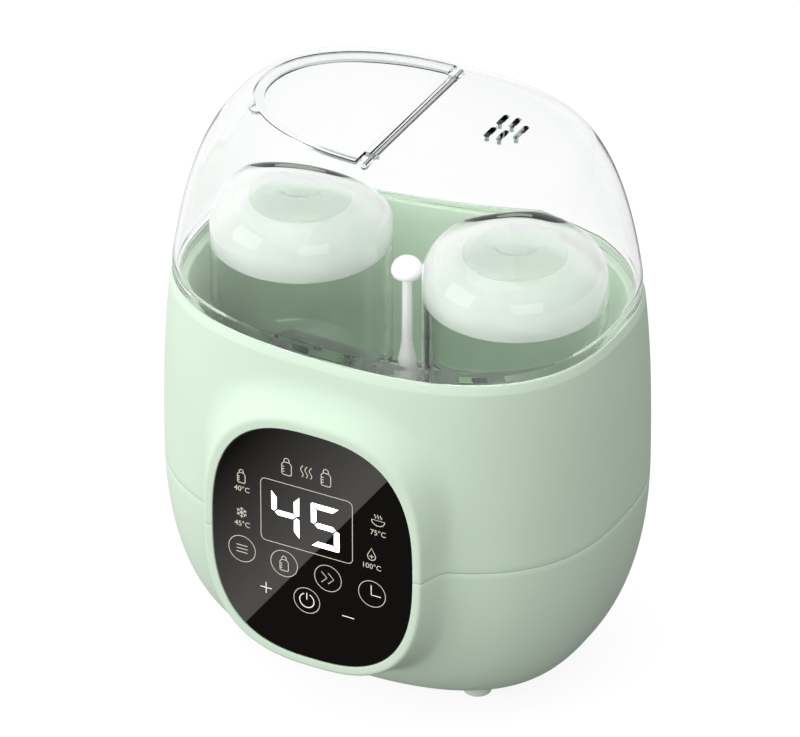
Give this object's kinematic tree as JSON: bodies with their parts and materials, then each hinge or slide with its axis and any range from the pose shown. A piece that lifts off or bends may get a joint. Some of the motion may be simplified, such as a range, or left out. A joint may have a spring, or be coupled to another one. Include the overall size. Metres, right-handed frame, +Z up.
{
  "type": "bottle warmer",
  "caption": "Oval double bottle warmer with a touch panel, a heated chamber, a clear lift-off lid with a hinged flap, and a rack holding upturned bottles.",
  "frame": {"origin": "centre of the footprint, on the surface that the feet stand on", "axes": "+Z up; the control panel faces -Y; +X is to the right when looking at the panel"},
  "size_m": [0.2172, 0.1758, 0.2683],
  "materials": {
    "housing": "fine satin moulded plastic",
    "liner": "satin moulded plastic",
    "foot": "matt rubber",
    "heater": "dark non-stick coat on aluminium",
    "silicone": "matt silicone",
    "steel": "plated steel",
    "fuse_body": "ceramic",
    "panel_glass": "polished black glass",
    "black_plastic": "fine matt",
    "board": "solder mask",
    "display": "dark moulded",
    "foam": "conductive foam",
    "ribbon": "flat cable",
    "winding": "taped winding",
    "relay_case": "moulded case",
    "capacitor_sleeve": "shrink sleeve",
    "lead": "wire insulation",
    "clear_plastic": "clear polished plastic",
    "rack_grey": "translucent grey plastic",
    "white_plastic": "gloss white",
    "bottle_glass": "clear glass with a soft haze"
  },
  "bodies": {
    "base": {"lower_housing": "housing", "upper_housing": "housing", "chamber_liner": "liner", "foot_front_left": "foot", "foot_front_right": "foot", "foot_rear_left": "foot", "foot_rear_right": "foot", "heating_plate": "heater", "plate_seal": "silicone", "plate_clamp": "steel", "heating_element": "steel", "temperature_sensor": "steel", "thermal_fuse": "fuse_body", "control_panel": "panel_glass", "panel_frame": "black_plastic", "control_board": "board", "display_module": "display", "touch_pads": "foam", "buzzer": "black_plastic", "panel_ribbon": "ribbon", "power_board": "board", "transformer": "winding", "relay": "relay_case", "capacitor": "capacitor_sleeve", "power_inlet": "black_plastic", "inlet_pins": "steel", "inlet_leads": "lead", "heater_leads": "lead", "sensor_leads": "lead", "housing_screws": "steel", "clamp_screws": "steel", "board_screws": "steel", "panel_screws": "steel"},
    "lid": {"lid_dome": "clear_plastic", "hinge_pin": "steel"},
    "flap": {"lid_flap": "clear_plastic"},
    "rack": {"bottle_rack": "rack_grey", "rack_post": "white_plastic"},
    "left_bottle": {"bottle_left": "bottle_glass"},
    "right_bottle": {"bottle_right": "bottle_glass"}
  },
  "joints": [
    {"name": "lid_lift", "type": "slide", "parent": "base", "child": "lid", "axis": [0, 0, 1], "range_m": [0, 0.16]},
    {"name": "flap_hinge", "type": "hinge", "parent": "lid", "child": "flap", "pos_m": [0.003, 0.003, 0.266], "axis": [0, 1, 0], "range_deg": [0, 105]},
    {"name": "rack_lift", "type": "slide", "parent": "base", "child": "rack", "axis": [0, 0, 1], "range_m": [0, 0.012]},
    {"name": "left_bottle_lift", "type": "slide", "parent": "rack", "child": "left_bottle", "axis": [0, 0, 1], "range_m": [0, 0.005]},
    {"name": "right_bottle_lift", "type": "slide", "parent": "rack", "child": "right_bottle", "axis": [0, 0, 1], "range_m": [0, 0.005]}
  ]
}
